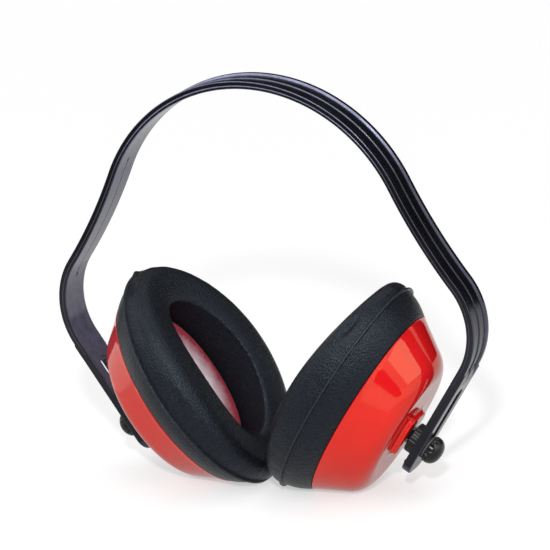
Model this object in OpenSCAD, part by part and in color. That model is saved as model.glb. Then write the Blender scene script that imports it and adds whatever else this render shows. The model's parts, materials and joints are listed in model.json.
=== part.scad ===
// Earmuff hearing protector: one sprung strip, two cups on sliding ball studs.
// Millimetres, +Z up, X across the head, -Y toward the viewer.
// It stands on the flats of its two shells. "right" is the cup at +X.

/* [Headband] */
// strip width
band_w = 15; // [13:0.1:17]
// strip thickness over the rims
band_t = 3.1; // [2.8:0.05:3.6]
// lean of a leg from upright, where it leaves the crown
hip_lean = 25.2; // [23.5:0.1:27]
// lean of a leg from upright, where it meets the shoulder
knee_lean = 36.6; // [34:0.1:38]
// length of a leg, which bows a little toward the head
leg_len = 43.6; // [40:0.1:48]
// radius of the shoulder bend
shoulder_r = 29.4; // [22:0.1:34]
// lean of the arms, shared by the cups and by the draft of the shells
arm_lean = 32.9; // [31.8:0.1:34]
// width of each raised rim on the outer face
rim_w = 2.1; // [1.4:0.1:3]
// depth of the channel between the rims
channel_d = 0.7; // [0.3:0.05:1.1]
// width of the rib in the middle of the channel
rib_w = 0.9; // [0.6:0.1:1.6]
// height of that rib
rib_h = 0.35; // [0.15:0.05:0.6]

/* [Arms] */
// arm start to the stud axis
stud_along = 38.8; // [36:0.1:42]
// stud axis to the end of the arm
tip_len = 12.5; // [11:0.1:14.5]
// extra thickness of the arm on its outer face
arm_extra = 0.5; // [0.2:0.05:0.8]
// length of the ramp that closes the channel
ramp_len = 6; // [3:0.1:8]
// length of the step where the rims thicken into the arm
step_len = 1; // [0.5:0.1:2]
// corner radius of the arm end
tip_r = 5.5; // [3:0.1:7]
// width of the slot
slot_w = 5; // [4.6:0.05:5.4]
// stud axis to the upper end of the slot
slot_up = 29; // [25:0.1:30]
// height of the stop wedge on the inner face
stop_h = 1.2; // [0.6:0.05:1.4]
// length of the stop wedge
stop_len = 3.2; // [2:0.1:3.6]
// length of the steep side of the wedge
stop_back = 0.8; // [0.5:0.05:1.2]
// end of the arm to the wedge
stop_in = 0.4; // [0.3:0.05:1]

/* [Slide and knob] */
// diameter of the slide block collar
collar_d = 12.4; // [11:0.1:13]
// diameter of the flat around the socket mouth
mouth_d = 6; // [5.6:0.1:6.6]
// length of the key that runs in the slot
key_len = 9; // [7:0.1:10]
// diameter of the threaded shank
shank_d = 4; // [3.4:0.05:4.4]
// length of the shank past the friction washer
shank_len = 4; // [3.2:0.1:4.2]
// diameter of the friction washer
washer_d = 9.8; // [8.5:0.1:10.4]
// thickness of the friction washer
washer_t = 0.8; // [0.6:0.05:1.2]
// diameter of the knob
knob_d = 11; // [10.4:0.1:12.4]
// height of the knob
knob_h = 5.4; // [5.1:0.1:7]
// height of the dome of the knob
dome_h = 2.4; // [1.6:0.1:2.6]
// radius of the flat in the middle of the dome
dome_r = 3; // [2.6:0.1:3.8]
// chamfer of the knob beside the washer
knob_edge = 0.4; // [0.2:0.05:0.6]
// number of grip flutes
flutes = 16; // [10:1:20]
// radius of a flute
flute_r = 0.7; // [0.5:0.05:0.9]
// axis of a flute outside the knob surface
flute_out = 0.3; // [0.15:0.05:0.4]
// length of a flute
flute_len = 2.6; // [2:0.1:2.9]

/* [Ball stud] */
// diameter of the ball
ball_d = 5.6; // [5.2:0.05:5.8]
// middle of the strip to the ball centre
ball_at = 4.2; // [4.1:0.05:4.5]
// how far the ball stands out of the collar
ball_out = 1.5; // [1.3:0.05:1.7]
// diameter of the neck beside the ball
neck_d = 2.8; // [2.2:0.05:3]
// diameter of the thrust flange
flange_d = 7; // [6:0.1:7.6]
// thickness of the thrust flange
flange_t = 1; // [0.8:0.05:1.2]
// radial clearance around the thrust flange
flange_gap = 0.2; // [0.15:0.05:0.3]
// diameter of the stud where the cup turns on it
stud_d = 4.4; // [3.8:0.05:4.8]
// diameter of the push nut
nut_d = 11; // [9.5:0.1:12]
// thickness of the push nut
nut_t = 1.2; // [0.9:0.05:1.6]
// how far the stud stands out of the push nut
stud_proud = 0.8; // [0.4:0.1:1.2]
// diameter of the seal washer
seal_d = 12; // [10.5:0.1:13]
// thickness of the seal washer
seal_t = 0.6; // [0.4:0.05:0.9]

/* [Cup shell] */
// half of the long axis at the rim
cup_a = 42.5; // [41.8:0.1:43.2]
// short axis over long axis
cup_ratio = 0.69; // [0.66:0.005:0.74]
// middle of the strip to the rim plane
rim_at = 26.4; // [25.6:0.1:26.8]
// middle of the strip to the outer face
face_at = 8.4; // [8.1:0.05:9]
// rounding between the outer face and the wall
corner_r = 12; // [9:0.1:13]
// wall thickness
wall = 2.4; // [2:0.05:3]
// depth of the flat that the cup stands on
flat_d = 1.2; // [0.8:0.05:1.5]
// boss length along the arm
boss_l = 18; // [16:0.1:22]
// boss width
boss_w = 15; // [13:0.1:18]
// rounding of the boss corners
boss_r = 4; // [2:0.1:6]
// collar to the face of the boss
boss_gap = 0.55; // [0.45:0.05:0.8]
// height of the boss inside the shell
pad_in = 0.4; // [0.2:0.05:0.8]
// width of the shoulder that carries the cushion
shoulder_w = 5.2; // [4.6:0.1:6]
// wall of the neck inside the shoulder
neck_t = 2.2; // [1.8:0.1:2.8]

/* [Cushion] */
// half of the long axis at the seam
seam_a = 47.9; // [46.6:0.1:48.2]
// half of the short axis at the seam
seam_b = 35.2; // [33.5:0.1:36.5]
// middle of the strip to the seam plane
seam_at = 37.1; // [35.6:0.1:37.3]
// width of the welded seam flange
seam_w = 0.7; // [0.4:0.05:1]
// depth of the crease beside the flange
crease_d = 0.4; // [0.2:0.05:0.7]
// half of the long axis of the ear opening
hole_a = 30.5; // [28:0.1:32]
// half of the short axis of the ear opening
hole_b = 17.4; // [15.5:0.1:19]
// height of the crown over the seam, at the sides
crown_side = 12.5; // [10:0.1:14]
// height of the crown over the seam, at the two ends
crown_end = 7.5; // [6:0.1:9]
// plumpness of the crown, smaller is squarer
plump = 0.7; // [0.6:0.01:1]
// crown to the lip of the ear opening
lip_drop = 1.2; // [0.6:0.1:3]
// the two cushions apart at rest
cushion_gap = 0.8; // [0.6:0.1:4]
// cushion over the floor
floor_gap = 0.1; // [0.05:0.05:0.3]
// thickness of the cover film
film = 0.9; // [0.7:0.05:1.2]
// thickness of the backing plate
plate_t = 2; // [1.6:0.05:2.6]

/* [Foam liner] */
// height of the liner over the inner face of the shell
liner_h = 22.8; // [19:0.1:25]
// depth of the pocket for the push nut
pocket_d = 4; // [3.6:0.1:6]
// diameter of that pocket
pocket_w = 22; // [19:0.1:25]
// rounding of the top of the liner
liner_r = 2.5; // [1:0.1:4]

/* [Fits] */
// radial running clearance of turning and sliding pieces
run = 0.05; // [0.03:0.01:0.1]
// clearance between pieces laid face to face
seat = 0.05; // [0.02:0.01:0.1]
// radial clearance of the push nut on the stud
grip = 0.01; // [0.01:0.005:0.03]
// clearance around soft and moulded pieces
loose = 0.3; // [0.2:0.05:0.4]
// largest tilt of a cup on its ball
tilt_max = 8; // [5:0.5:9]

/* [Hidden] */
$fn = 64;
big = 400;
around = 48;
arch_steps = 8;
corner_steps = 4;
crown_steps = 20;
leg_steps = 8;
shoulder_steps = 20;
arc_steps = 8;

// part of a piece that runs into its neighbour in the same moulding
embed = 0.5;
// spare length of a cutter past the face it leaves
past = 1;
// corner cutters of the arm end, off the faces they would only touch
cut_off = 0.05;
// relief of the collar beyond the largest tilt
relief_more = 5;

// levels along the stud axis, from the middle of the strip toward the head
arm_in = band_t / 2;
arm_out = -band_t / 2 - arm_extra;
collar_end = ball_at + ball_d / 2 - ball_out;
boss_at = collar_end + boss_gap;
flange_at = boss_at + 2 * seat;
flange_in = flange_at + flange_t;
inner_face = face_at + wall;
seal_at = inner_face + pad_in + seat;
nut_at = seal_at + seal_t + seat;
stud_end = nut_at + nut_t + stud_proud;
plate_at = rim_at + seat;
plate_top = plate_at + plate_t;
base_at = plate_top + seat;
neck_top = plate_top;
seam_top = seam_at + seat;
crown_from = seam_top + film;
mouth_at = rim_at - wall;

// stud point: the shells stand on their flats and the cushions nearly meet in the middle
stud_z = cup_a * cos(arm_lean) - rim_at * sin(arm_lean) - flat_d;
reach = max([for (i = [0:arch_steps])
    for (p = arch_ring(180 * i / arch_steps, 0, crown_from, floor_gap))
        p[2] * cos(arm_lean) - p[0] * sin(arm_lean)]);
stud_x = reach + cushion_gap / 2;

// path of the strip: arm, then the middles and radii of the shoulder, leg and crown bends, right half
arm_x = stud_x + stud_along * sin(arm_lean);
arm_z = stud_z + stud_along * cos(arm_lean);
shoulder_x = arm_x - shoulder_r * cos(arm_lean);
shoulder_z = arm_z + shoulder_r * sin(arm_lean);
leg_r = leg_len / (knee_lean - hip_lean) * 180 / PI;
leg_x = shoulder_x + (shoulder_r + leg_r) * cos(knee_lean);
leg_z = shoulder_z + (shoulder_r + leg_r) * sin(knee_lean);
crown_r = leg_x / cos(hip_lean) - leg_r;
crown_z = leg_z - (leg_r + crown_r) * sin(hip_lean);

// Shapes placed on the arm: X runs up the arm, Z points from the arm to the head.
module on_side(side) {
    mirror([side < 0 ? 1 : 0, 0, 0])
        translate([stud_x, 0, stud_z])
            rotate([0, arm_lean - 90, 0])
                children();
}

// The right half of the strip's path as [x, z, outward x, outward z, run past the arm start].
// A leg bows toward the head, so its radius counts as negative.
function path_arc(x, z, r, from, to, n) =
    [for (i = [1:n])
        let (t = from + (to - from) * i / n)
        [x + r * cos(t), z + r * sin(t), cos(t), sin(t), 0]];
function path_arm(d) =
    [arm_x - d * sin(arm_lean), arm_z - d * cos(arm_lean), cos(arm_lean), -sin(arm_lean), d];
function half_path() = concat(
    [[0, crown_z + crown_r, 0, 1, 0]],
    path_arc(0, crown_z, crown_r, 90, hip_lean, crown_steps),
    path_arc(leg_x, leg_z, -leg_r, hip_lean, knee_lean, leg_steps),
    path_arc(shoulder_x, shoulder_z, shoulder_r, knee_lean, -arm_lean, shoulder_steps),
    [path_arm(step_len), path_arm(ramp_len), path_arm(stud_along + tip_len)]);

// Offset of the outer face at a run past the arm start: the strip, then the thicker arm.
function outer_at(strip, d, ramp) = strip + (band_t / 2 + arm_extra - strip) * min(1, d / ramp);

// Side outline of the strip between its inner face and an outer offset.
function outline(strip, ramp) =
    let (path = half_path(),
        n = len(path) - 1,
        out = [for (p = path)
            let (o = outer_at(strip, p[4], ramp))
            [p[0] + o * p[2], p[1] + o * p[3]]],
        back = [for (p = path) [p[0] - band_t / 2 * p[2], p[1] - band_t / 2 * p[3]]])
    concat(
        [for (i = [n:-1:1]) [-out[i][0], out[i][1]]], [for (i = [0:n]) out[i]],
        [for (i = [n:-1:0]) back[i]], [for (i = [1:n]) [-back[i][0], back[i][1]]]);

module slab(from, to, strip, ramp) {
    translate([0, to, 0])
        rotate([90, 0, 0])
            linear_extrude(height = to - from)
                polygon(outline(strip, ramp));
}

// Two rims, the channel floor and the rib, side by side across the strip.
module strip() {
    half = band_w / 2;
    floor_at = band_t / 2 - channel_d;
    slab(-half, -half + rim_w, band_t / 2, step_len);
    slab(-half + rim_w, -rib_w / 2, floor_at, ramp_len);
    slab(-rib_w / 2, rib_w / 2, floor_at + rib_h, ramp_len);
    slab(rib_w / 2, half - rim_w, floor_at, ramp_len);
    slab(half - rim_w, half, band_t / 2, step_len);
}

// A cut right through the arm, from an outline in the plane of the arm.
module arm_cut(points) {
    translate([0, 0, arm_out - past])
        linear_extrude(height = arm_in - arm_out + 2 * past)
            polygon(points);
}

// The slot and the two corners of the arm's end.
module arm_cuts() {
    half = band_w / 2;
    low = -key_len / 2 - run;
    end_x = -tip_len + tip_r - cut_off;
    end_y = half - tip_r + cut_off;
    far_x = -tip_len - past;
    far_y = half + past;
    arm_cut(concat(
        [[low, -slot_w / 2]],
        [for (i = [0:2 * arc_steps])
            let (t = -90 + 90 * i / arc_steps)
            [slot_up - slot_w / 2 + slot_w / 2 * cos(t), slot_w / 2 * sin(t)]],
        [[low, slot_w / 2]]));
    for (side = [-1, 1])
        arm_cut(concat(
            [[end_x, side * far_y], [far_x, side * far_y], [far_x, side * end_y]],
            [for (i = [0:arc_steps])
                let (t = 90 * i / arc_steps)
                [end_x - tip_r * cos(t), side * (end_y + tip_r * sin(t))]]));
}

// Wedge on the inner face that keeps the slide block off the end of the arm.
module stop_wedge() {
    low = -tip_len + stop_in;
    high = low + stop_len;
    rotate([90, 0, 0])
        linear_extrude(height = slot_w, center = true)
            polygon([
                [low, arm_in - embed], [low, arm_in], [high - stop_back, arm_in + stop_h],
                [high, arm_in], [high, arm_in - embed]]);
}

module headband() {
    color([0.05, 0.05, 0.06]) {
        difference() {
            strip();
            for (side = [-1, 1])
                on_side(side) arm_cuts();
        }
        for (side = [-1, 1])
            on_side(side) stop_wedge();
    }
}

// Collar, key in the slot and threaded shank in one moulding, with the ball socket.
module slide_block(side) {
    relief = (collar_d - mouth_d) / 2 * tan(tilt_max + relief_more);
    color([0.07, 0.07, 0.08])
        on_side(side) {
            difference() {
                union() {
                    rotate_extrude()
                        polygon([
                            [0, arm_in + seat], [collar_d / 2, arm_in + seat],
                            [collar_d / 2, collar_end - relief], [mouth_d / 2, collar_end], [0, collar_end]]);
                    translate([-key_len / 2, -slot_w / 2 + run, arm_out])
                        cube([key_len, slot_w - 2 * run, arm_in - arm_out + embed]);
                    translate([0, 0, arm_out - washer_t - shank_len])
                        cylinder(h = washer_t + shank_len + embed, d = shank_d);
                }
                translate([0, 0, ball_at])
                    sphere(r = ball_d / 2 + run);
            }
        }
}

module friction_washer(side) {
    color([0.3, 0.3, 0.32])
        on_side(side)
            difference() {
                translate([0, 0, arm_out - seat - washer_t])
                    cylinder(h = washer_t, d = washer_d);
                translate([0, 0, arm_out - washer_t - past])
                    cylinder(h = washer_t + 2 * past, r = shank_d / 2 + run);
            }
}

// Domed thumb nut with grip flutes and a blind bore for the shank.
module knob(side) {
    base = arm_out - washer_t - 2 * seat;
    top = base - knob_h;
    r = knob_d / 2;
    bore = shank_len + loose;
    color([0.06, 0.06, 0.07])
        on_side(side)
            difference() {
                rotate_extrude()
                    polygon(concat(
                        [[0, base], [r - knob_edge, base], [r, base - knob_edge]],
                        [for (i = [0:arc_steps])
                            let (t = 90 * i / arc_steps)
                            [dome_r + (r - dome_r) * cos(t), top + dome_h * (1 - sin(t))]],
                        [[0, top]]));
                for (i = [0:flutes - 1])
                    rotate([0, 0, 360 * i / flutes])
                        translate([r + flute_out, 0, base - flute_len])
                            cylinder(h = flute_len + past, r = flute_r);
                translate([0, 0, base - bore])
                    cylinder(h = bore + past, r = shank_d / 2 + run);
            }
}

module ball_stud(side) {
    color([0.12, 0.12, 0.13])
        on_side(side) {
            translate([0, 0, ball_at])
                sphere(d = ball_d);
            translate([0, 0, ball_at])
                cylinder(h = flange_at - ball_at + embed, d = neck_d);
            translate([0, 0, flange_at])
                cylinder(h = flange_t, d = flange_d);
            translate([0, 0, flange_in - embed])
                cylinder(h = stud_end - flange_in + embed, d = stud_d);
        }
}

module push_nut(side) {
    color([0.65, 0.66, 0.68])
        on_side(side)
            translate([0, 0, nut_at])
                difference() {
                    cylinder(h = nut_t, d = nut_d);
                    translate([0, 0, -past])
                        cylinder(h = nut_t + 2 * past, r = stud_d / 2 + grip);
                }
}

module seal_washer(side) {
    color([0.2, 0.2, 0.2])
        on_side(side)
            translate([0, 0, seal_at])
                difference() {
                    cylinder(h = seal_t, d = seal_d);
                    translate([0, 0, -past])
                        cylinder(h = seal_t + 2 * past, r = stud_d / 2 + run);
                }
}

// Half of the long axis of a wall surface at a level, parallel to the draft.
function wall_a(level, inset) = cup_a - (rim_at - level) * tan(arm_lean) - inset / cos(arm_lean);

// Rounded corner between a flat face and the drafted wall, as [radius, level] points.
function corner(level, inset, r) =
    let (sweep = 90 - arm_lean,
        cx = wall_a(level + r, inset) - r / cos(arm_lean),
        n = corner_steps)
    [for (i = [0:n]) [cx + r * sin(sweep * i / n), level + r - r * cos(sweep * i / n)]];

// Half of the long axis where the inside of the wall meets the neck.
function mouth_a() = min(wall_a(mouth_at, wall), cup_a - shoulder_w - neck_t);

// Oval shell: drafted wall, cushion shoulder, neck, boss for the stud, flat underneath.
module cup_shell(side) {
    outer = corner(face_at, 0, corner_r);
    inner = corner(inner_face, wall, corner_r - wall);
    neck_a = cup_a - shoulder_w;
    core_a = boss_w / 3;
    profile = concat(
        [[core_a, face_at]], outer,
        [[cup_a, rim_at], [neck_a, rim_at], [neck_a, neck_top], [neck_a - neck_t, neck_top]],
        [[mouth_a(), mouth_at]], [for (i = [corner_steps:-1:0]) inner[i]], [[core_a, inner_face]]);
    color([0.86, 0.16, 0.14])
        difference() {
            on_side(side)
                difference() {
                    union() {
                        ring_solid([for (p = profile) oval(p[0], p[1])]);
                        boss();
                    }
                    translate([0, 0, boss_at - past])
                        cylinder(h = flange_in + seat - boss_at + past, r = flange_d / 2 + flange_gap);
                    translate([0, 0, boss_at])
                        cylinder(h = seal_at - boss_at + past, r = stud_d / 2 + run);
                }
            translate([-big / 2, -big / 2, -big])
                cube([big, big, big]);
        }
}

// Raised pad that the stud passes through, standing a little proud inside as well.
module boss() {
    h = seal_at - seat - boss_at;
    translate([-boss_l / 2 + boss_r, -boss_w / 2, boss_at])
        cube([boss_l - 2 * boss_r, boss_w, h]);
    translate([-boss_l / 2, -boss_w / 2 + boss_r, boss_at])
        cube([boss_l, boss_w - 2 * boss_r, h]);
    for (x = [-1, 1])
        for (y = [-1, 1])
            translate([x * (boss_l / 2 - boss_r), y * (boss_w / 2 - boss_r), boss_at])
                cylinder(h = h, r = boss_r);
}

// Foam pad on the inner face of the shell, with a pocket over the push nut. It rises through
// the neck into the ear opening.
module foam_liner(side) {
    at = inner_face + loose;
    top = at + liner_h;
    inner = corner(inner_face, wall, corner_r - wall);
    foot = inner[corner_steps];
    plug_a = hole_a - loose;
    plug_b = hole_b - loose;
    color([0.93, 0.84, 0.84])
        on_side(side)
            difference() {
                ring_stack(concat(
                    [oval(inner[0][0] - loose, at), oval(foot[0] - 2 * loose, foot[1] + loose)],
                    [oval(mouth_a() - 2 * loose, mouth_at), ring(plug_a, plug_b, base_at, 0)],
                    [for (i = [0:corner_steps])
                        let (t = 90 * i / corner_steps, in = liner_r * (1 - cos(t)))
                        ring(plug_a - in, plug_b - in, top - liner_r * (1 - sin(t)), 0)]));
                translate([0, 0, at - past])
                    cylinder(h = pocket_d + past, d = pocket_w);
            }
}

// Stiff ring inside the back of the cushion, around the neck of the shell.
module cushion_plate(side) {
    in_a = cup_a - shoulder_w + loose;
    out_a = cup_a - film - 2 * loose;
    wide_a = out_a + loose;
    off = floor_gap + film + loose;
    color([0.1, 0.1, 0.11])
        on_side(side)
            ring_solid([
                ring(in_a, in_a * cup_ratio, plate_at, off),
                ring(out_a, out_a * cup_ratio, plate_at, off),
                ring(wide_a, wide_a * cup_ratio, plate_top, off),
                ring(in_a, in_a * cup_ratio, plate_top, off)]);
}

// A ring of the soft cushion: half axes, level, and how far it is kept off the floor.
function floor_x(level, off) = (off - stud_z - level * sin(arm_lean)) / cos(arm_lean);
function ring(a, b, level, off) =
    [for (j = [0:around - 1])
        let (t = 360 * j / around)
        [max(a * cos(t), floor_x(level, off)), b * sin(t), level]];

// A ring of the hard pieces, with the axes of the shell.
function oval(a, level) =
    [for (j = [0:around - 1])
        let (t = 360 * j / around)
        [a * cos(t), a * cup_ratio * sin(t), level]];

// A ring of the crown at angle phi over its section, set in by an inset from the film surface.
// The outer half rises from the seam, the inner half falls only to the lip of the opening.
function arch_part(c) = sign(c) * pow(abs(c), plump);
function crown_at(t) = crown_end + (crown_side - crown_end) * pow(sin(t), 2);
function arch_ring(phi, inset, from, off) =
    let (s = 0.5 - 0.5 * arch_part(cos(phi)),
        rise = arch_part(sin(phi)),
        a = (seam_a - inset) * (1 - s) + (hole_a + inset) * s,
        b = (seam_b - inset) * (1 - s) + (hole_b + inset) * s)
    [for (j = [0:around - 1])
        let (t = 360 * j / around,
            top = crown_at(t) - inset,
            low = phi > 90 ? top - lip_drop : 0,
            level = from + low + (top - low) * rise)
        [max(a * cos(t), floor_x(level, off)), b * sin(t), level]];

// Closed skin through a loop of rings.
module ring_solid(rings) {
    n = len(rings);
    polyhedron(
        points = [for (r = rings) each r],
        faces = [for (i = [0:n - 1])
            for (j = [0:around - 1])
                let (p = i * around, q = ((i + 1) % n) * around, k = (j + 1) % around)
                for (f = [[p + j, q + j, q + k], [p + j, q + k, p + k]]) f],
        convexity = 6);
}

// Solid piece through a stack of rings with flat ends.
module ring_stack(rings) {
    n = len(rings);
    top = (n - 1) * around;
    polyhedron(
        points = [for (r = rings) each r],
        faces = concat(
            [[for (j = [0:around - 1]) j]], [[for (j = [around - 1:-1:0]) top + j]],
            [for (i = [0:n - 2])
                for (j = [0:around - 1])
                    let (p = i * around, q = p + around, k = (j + 1) % around)
                    for (f = [[p + j, q + j, q + k], [p + j, q + k, p + k]]) f]),
        convexity = 4);
}

// Growth of the skirt's half axes per level, from the rim of the shell to the seam.
function skirt() = (seam_a - cup_a) / (seam_at - rim_at);

// Back half of the cover: seam flange, conical skirt and the skin on the plate.
module cushion_back(side) {
    low = rim_at + 2 * seat;
    rim_b = cup_a * cup_ratio;
    lip_a = seam_a + seam_w;
    lip_b = seam_b + seam_w;
    in_a = hole_a + film + loose;
    in_b = hole_b + film + loose;
    base_a = cup_a - film + skirt() * (base_at - rim_at);
    base_b = rim_b - film + skirt() * (base_at - rim_at);
    more = skirt() * film;
    off = floor_gap + film;
    color([0.09, 0.1, 0.11])
        on_side(side)
            ring_solid([
                ring(lip_a, lip_b, seam_at, floor_gap),
                ring(lip_a, lip_b, seam_at - film, floor_gap),
                ring(seam_a - crease_d, seam_b - crease_d, seam_at - film, floor_gap),
                ring(cup_a, rim_b, low, floor_gap),
                ring(cup_a - film, rim_b - film, low, off),
                ring(base_a, base_b, base_at, off),
                ring(in_a, in_b, base_at, off),
                ring(in_a, in_b, base_at + film, off),
                ring(base_a + more, base_b + more, base_at + film, off),
                ring(seam_a - film, seam_b - film, seam_at, off)]);
}

// Front half of the cover: seam flange, crown, ear opening and the wall of the opening.
module cushion_front(side) {
    lip_a = seam_a + seam_w;
    lip_b = seam_b + seam_w;
    lip_top = crown_from - seat;
    off = floor_gap + film;
    color([0.1, 0.11, 0.12])
        on_side(side)
            ring_solid(concat(
                [ring(lip_a, lip_b, seam_top, floor_gap), ring(lip_a, lip_b, lip_top, floor_gap)],
                [for (i = [0:arch_steps]) arch_ring(180 * i / arch_steps, 0, crown_from, floor_gap)],
                [ring(hole_a, hole_b, base_at, floor_gap)],
                [ring(hole_a + film, hole_b + film, base_at, floor_gap)],
                [for (i = [arch_steps:-1:0]) arch_ring(180 * i / arch_steps, film, crown_from, off)],
                [ring(seam_a - film, seam_b - film, seam_top, off)]));
}

// Soft core that fills the cover.
module cushion_foam(side) {
    gap = film + loose;
    low = base_at + film + seat;
    low_a = cup_a - gap + skirt() * (low - rim_at);
    low_b = cup_a * cup_ratio - gap + skirt() * (low - rim_at);
    off = floor_gap + gap;
    color([0.85, 0.8, 0.5])
        on_side(side)
            ring_solid(concat(
                [ring(low_a, low_b, low, off)],
                [for (i = [0:arch_steps]) arch_ring(180 * i / arch_steps, gap, seam_at + film, off)],
                [ring(hole_a + gap, hole_b + gap, low, off)]));
}

module left_slide_block() { slide_block(-1); }
module right_slide_block() { slide_block(1); }
module left_friction_washer() { friction_washer(-1); }
module right_friction_washer() { friction_washer(1); }
module left_knob() { knob(-1); }
module right_knob() { knob(1); }
module left_ball_stud() { ball_stud(-1); }
module right_ball_stud() { ball_stud(1); }
module left_push_nut() { push_nut(-1); }
module right_push_nut() { push_nut(1); }
module left_seal_washer() { seal_washer(-1); }
module right_seal_washer() { seal_washer(1); }
module left_cup_shell() { cup_shell(-1); }
module right_cup_shell() { cup_shell(1); }
module left_foam_liner() { foam_liner(-1); }
module right_foam_liner() { foam_liner(1); }
module left_cushion_plate() { cushion_plate(-1); }
module right_cushion_plate() { cushion_plate(1); }
module left_cushion_foam() { cushion_foam(-1); }
module right_cushion_foam() { cushion_foam(1); }
module left_cushion_back() { cushion_back(-1); }
module right_cushion_back() { cushion_back(1); }
module left_cushion_front() { cushion_front(-1); }
module right_cushion_front() { cushion_front(1); }

headband();
left_slide_block();
right_slide_block();
left_friction_washer();
right_friction_washer();
left_knob();
right_knob();
left_ball_stud();
right_ball_stud();
left_push_nut();
right_push_nut();
left_seal_washer();
right_seal_washer();
left_cup_shell();
right_cup_shell();
left_foam_liner();
right_foam_liner();
left_cushion_plate();
right_cushion_plate();
left_cushion_foam();
right_cushion_foam();
left_cushion_back();
right_cushion_back();
left_cushion_front();
right_cushion_front();
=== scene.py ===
"""Looks of an earmuff hearing protector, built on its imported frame.

Sizes are in millimetres and become metres when a mesh is made. Each cup has its own axes:
u runs up the arm, y from front to back, w from the arm toward the head.
"""
import json
import math
import bpy
import numpy as np
from mathutils import Matrix


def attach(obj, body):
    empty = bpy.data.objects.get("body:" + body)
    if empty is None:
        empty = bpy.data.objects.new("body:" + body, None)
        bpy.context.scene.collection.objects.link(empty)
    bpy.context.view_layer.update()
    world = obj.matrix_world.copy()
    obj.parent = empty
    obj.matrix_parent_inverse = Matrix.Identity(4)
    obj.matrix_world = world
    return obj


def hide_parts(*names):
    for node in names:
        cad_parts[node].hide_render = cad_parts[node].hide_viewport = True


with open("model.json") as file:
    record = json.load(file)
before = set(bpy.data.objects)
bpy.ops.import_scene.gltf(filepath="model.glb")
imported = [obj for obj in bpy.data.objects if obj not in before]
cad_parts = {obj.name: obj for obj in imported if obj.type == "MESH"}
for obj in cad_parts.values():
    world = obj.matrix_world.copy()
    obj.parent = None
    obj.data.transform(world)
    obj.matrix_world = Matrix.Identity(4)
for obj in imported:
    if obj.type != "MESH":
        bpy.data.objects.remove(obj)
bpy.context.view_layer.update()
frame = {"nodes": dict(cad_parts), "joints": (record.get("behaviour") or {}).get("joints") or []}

MM = 0.001
SIDES = {"left": -1, "right": 1}
JOINTS = {j["name"]: j for j in frame["joints"]}

# Strip
HIP_LEAN = 25.2
KNEE_LEAN = 36.6
LEG_LEN = 43.6
SHOULDER_R = 29.4
BAND_W = 15
BAND_T = 3.1
RIM_W = 2.1
CHANNEL_D = 0.7
RIM_SLOPE = 0.35
RIB_W = 0.9
RIB_H = 0.35
RIB_FOOT = 0.1
BAND_EDGE = 0.5
PARTING_AT = -0.3
PARTING_W = 0.2
PARTING_H = 0.12
GROOVE_W = 0.22
GROOVE_D = 0.2
GROOVE_EDGE = 0.05
GROOVE_POINTS = 5
GROOVE_FROM = -6
GROOVE_TO = 51
PIT_LEN = 1.1
PIT_W = 0.6
PIT_D = 0.4
HEAD_AT = 95
CROWN_STEPS = 110
BEND_STEPS = 70

# Rounding of the strip's corners in section: inner edge, parting ridge, rim, foot of the rim, rib
SECTION_RADII = [BAND_EDGE, 0.05, 0.04, 0.05, 0.45, 0.3, 0.25, 0.12, 0.13]

# Arms, measured from the stud axis
STUD_ALONG = 38.8
TIP_LEN = 12.5
TIP_R = 5.5
ARM_EXTRA = 0.5
STEP_LEN = 1
RAMP_LEN = 6
SLOT_W = 5
SLOT_UP = 29
SLOT_LOW = -4.55
STOP_H = 1.2
STOP_LEN = 3.2
STOP_BACK = 0.8
STOP_IN = 0.4
STOP_SINK = 0.5
ARM_LAP = 1
ARM_SINK = 0.02
ARM_IN = BAND_T / 2
ARM_OUT = -BAND_T / 2 - ARM_EXTRA

# Across the stop wedge: place along y, and the share of its outline kept there
STOP_ACROSS = [(-2.5, 0.9), (-2.4, 0.97), (-2.2, 1), (2.2, 1), (2.4, 0.97), (2.5, 0.9)]

# Slide block and knob
COLLAR_D = 12.4
COLLAR_END = 5.5
COLLAR_RELIEF = 0.74
COLLAR_RIDGES = 24
RIDGE_D = 0.14
SHANK_D = 4
SHANK_END = -6.85
KNOB_D = 11
KNOB_BASE = -2.95
KNOB_H = 5.4
KNOB_BORE = 4.3
DOME_H = 3.9
DOME_R = 0.9
FLUTES = 16
FLUTE_D = 0.42
BALL_AT = 4.2
SOCKET_R = 2.85
POLE_R = 0.02

# Rings of the key that fills the slot: half length, half width
KEY_RINGS = [(4.2, 2.3), (4.45, 2.42), (4.5, 2.45), (4.5, 2.45), (4.45, 2.42), (4.2, 2.3)]
KEY_SQUARE = 14

# Shell
CUP_A = 42.5
CUP_RATIO = 0.69
RIM_AT = 26.4
FACE_AT = 8.4
CORNER_R = 12
WALL = 2.4
BOSS_AT = 6.05
BOSS_L = 18
BOSS_W = 15
BOSS_SQUARE = 4.5
FLANGE_SEAT_R = 3.7
FLANGE_SEAT_AT = 7.2
STUD_BORE_R = 2.25
PAD_AT = 11.2
NECK_A = 37.3
NECK_T = 2.2
NECK_TOP = 28.45

# Rings of the boss: growth of its outline with depth below its top, over a fine line, then with height over
# the face
BOSS_TOP = [(-0.9, 0), (-0.45, 0.08), (-0.15, 0.3), (0, 0.6),
            (0, 0.75), (-0.35, 0.8), (-0.35, 1.1), (0.1, 1.15)]
BOSS_FOOT = [(0.15, 1), (0.35, 0.55), (0.7, 0.2), (1.1, 0.05), (1.5, 0)]

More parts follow.
